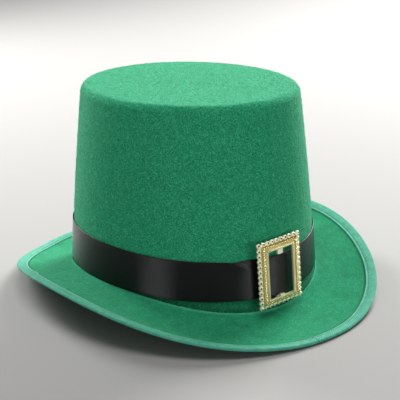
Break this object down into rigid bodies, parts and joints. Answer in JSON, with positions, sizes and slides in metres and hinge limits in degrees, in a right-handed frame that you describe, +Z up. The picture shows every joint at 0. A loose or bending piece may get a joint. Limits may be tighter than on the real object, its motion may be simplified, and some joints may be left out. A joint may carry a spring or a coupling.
{
  "type": "leprechaun hat",
  "caption": "Tall felt costume hat with a flat top, curled and bound brim, satin ribbon band and beaded rectangular buckle.",
  "frame": {"origin": "middle of the bounding box at the level that the brim rests on", "axes": "+Z up through the crown, -Y to the front where the buckle is, +X to the right seen from the front"},
  "size_m": [0.2622, 0.304, 0.1572],
  "materials": {
    "crown_felt": "green non-woven felt, fine fuzzy grain",
    "brim_felt": "green non-woven felt, pressed smoother than the crown",
    "edge_tape": "light teal-green folded tape with a row of stitches",
    "satin_ribbon": "black satin, soft sheen",
    "gold_plate": "moulded plastic with a bright gold plating"
  },
  "bodies": {
    "root": {"crown": "crown_felt", "brim": "brim_felt", "brim_binding": "edge_tape", "hat_band": "satin_ribbon", "buckle": "gold_plate"}
  },
  "joints": []
}
